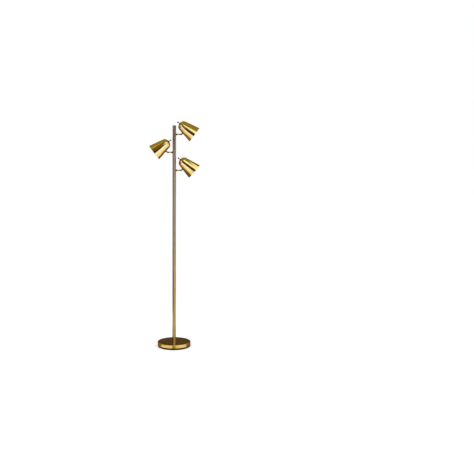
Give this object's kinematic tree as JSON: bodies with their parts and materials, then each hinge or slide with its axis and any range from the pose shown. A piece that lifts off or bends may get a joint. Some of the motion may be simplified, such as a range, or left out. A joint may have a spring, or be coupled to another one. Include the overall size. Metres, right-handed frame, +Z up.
{
  "type": "tree floor lamp",
  "caption": "Floor lamp with a weighted round base, a slim straight pole and short swivelling arms that each carry a conical metal shade with a turn switch at its closed end.",
  "frame": {"origin": "middle of the base's underside, on the floor", "axes": "+Z up along the pole, +X to the side that the upper and lower arms stand out on, +Y to the rear, where the lead's bush is"},
  "size_m": [0.3579, 0.2422, 1.6305],
  "materials": {
    "pad": "black felt",
    "black_enamel": "gloss black enamel",
    "iron": "rough iron casting",
    "steel": "zinc-plated steel",
    "base_brass": "polished antique brass, lacquered",
    "black_plastic": "fine satin",
    "pole_bronze": "polished antique brass with a bronze tone",
    "dark_bronze": "blackened bronze, satin",
    "arm_brass": "antique brass, satin",
    "shade_brass": "spun antique brass outside, white enamel inside",
    "holder_plastic": "white moulding",
    "switch_metal": "dark bronze, polished",
    "bulb_metal": "pressed cap",
    "bulb_silver": "glass, silvered inside",
    "opal_glass": "frosted glass"
  },
  "bodies": {
    "stand": {"base_pad": "pad", "base_plate": "black_enamel", "plate_screws": "steel", "base_weight": "iron", "base_cover": "base_brass", "cord_bush": "black_plastic", "base_stud": "steel", "base_washer": "steel", "base_nut": "steel", "foot_plug": "steel", "pole_lower": "pole_bronze", "pole_middle_lower": "pole_bronze", "pole_middle_upper": "pole_bronze", "pole_upper": "pole_bronze", "pole_couplers": "steel", "pole_inserts": "steel", "pole_cap": "dark_bronze", "arm_collars": "dark_bronze"},
    "upper_arm": {"upper_arm_tube": "arm_brass", "upper_arm_nut": "steel", "upper_knuckle_fork": "dark_bronze", "upper_knuckle_screw": "steel"},
    "upper_head": {"upper_knuckle_tongue": "dark_bronze", "upper_stem_nut": "steel", "upper_shade": "shade_brass", "upper_lamp_holder": "holder_plastic", "upper_switch_nut": "switch_metal", "upper_bulb_cap": "bulb_metal", "upper_bulb_body": "bulb_silver", "upper_bulb_lens": "opal_glass"},
    "upper_knob": {"upper_switch_knob": "switch_metal"},
    "middle_arm": {"middle_arm_tube": "arm_brass", "middle_arm_nut": "steel", "middle_knuckle_fork": "dark_bronze", "middle_knuckle_screw": "steel"},
    "middle_head": {"middle_knuckle_tongue": "dark_bronze", "middle_stem_nut": "steel", "middle_shade": "shade_brass", "middle_lamp_holder": "holder_plastic", "middle_switch_nut": "switch_metal", "middle_bulb_cap": "bulb_metal", "middle_bulb_body": "bulb_silver", "middle_bulb_lens": "opal_glass"},
    "middle_knob": {"middle_switch_knob": "switch_metal"},
    "lower_arm": {"lower_arm_tube": "arm_brass", "lower_arm_nut": "steel", "lower_knuckle_fork": "dark_bronze", "lower_knuckle_screw": "steel"},
    "lower_head": {"lower_knuckle_tongue": "dark_bronze", "lower_stem_nut": "steel", "lower_shade": "shade_brass", "lower_lamp_holder": "holder_plastic", "lower_switch_nut": "switch_metal", "lower_bulb_cap": "bulb_metal", "lower_bulb_body": "bulb_silver", "lower_bulb_lens": "opal_glass"},
    "lower_knob": {"lower_switch_knob": "switch_metal"}
  },
  "joints": [
    {"name": "upper_arm_turn", "type": "hinge", "parent": "stand", "child": "upper_arm", "pos_m": [0, 0, 1.537], "axis": [1, 0, 0], "range_deg": [-168, 168]},
    {"name": "upper_shade_tilt", "type": "hinge", "parent": "upper_arm", "child": "upper_head", "pos_m": [0.0485, 0, 1.537], "axis": [0, -1, 0], "range_deg": [-73.5, 3]},
    {"name": "upper_switch_turn", "type": "hinge", "parent": "upper_head", "child": "upper_knob", "pos_m": [0.02513, 0, 1.6223], "axis": [-0.8039, 0, 0.5948], "continuous": true},
    {"name": "middle_arm_turn", "type": "hinge", "parent": "stand", "child": "middle_arm", "pos_m": [0, 0, 1.41], "axis": [-1, 0, 0], "range_deg": [-168, 168]},
    {"name": "middle_shade_tilt", "type": "hinge", "parent": "middle_arm", "child": "middle_head", "pos_m": [-0.0485, 0, 1.41], "axis": [0, 1, 0], "range_deg": [-72.5, 4]},
    {"name": "middle_switch_turn", "type": "hinge", "parent": "middle_head", "child": "middle_knob", "pos_m": [-0.02662, 0, 1.4957], "axis": [0.7934, 0, 0.6088], "continuous": true},
    {"name": "lower_arm_turn", "type": "hinge", "parent": "stand", "child": "lower_arm", "pos_m": [0, 0, 1.283], "axis": [1, 0, 0], "range_deg": [-168, 168]},
    {"name": "lower_shade_tilt", "type": "hinge", "parent": "lower_arm", "child": "lower_head", "pos_m": [0.0485, 0, 1.283], "axis": [0, -1, 0], "range_deg": [-70, 6.5]},
    {"name": "lower_switch_turn", "type": "hinge", "parent": "lower_head", "child": "lower_knob", "pos_m": [0.03038, 0, 1.36957], "axis": [-0.766, 0, 0.6428], "continuous": true}
  ]
}
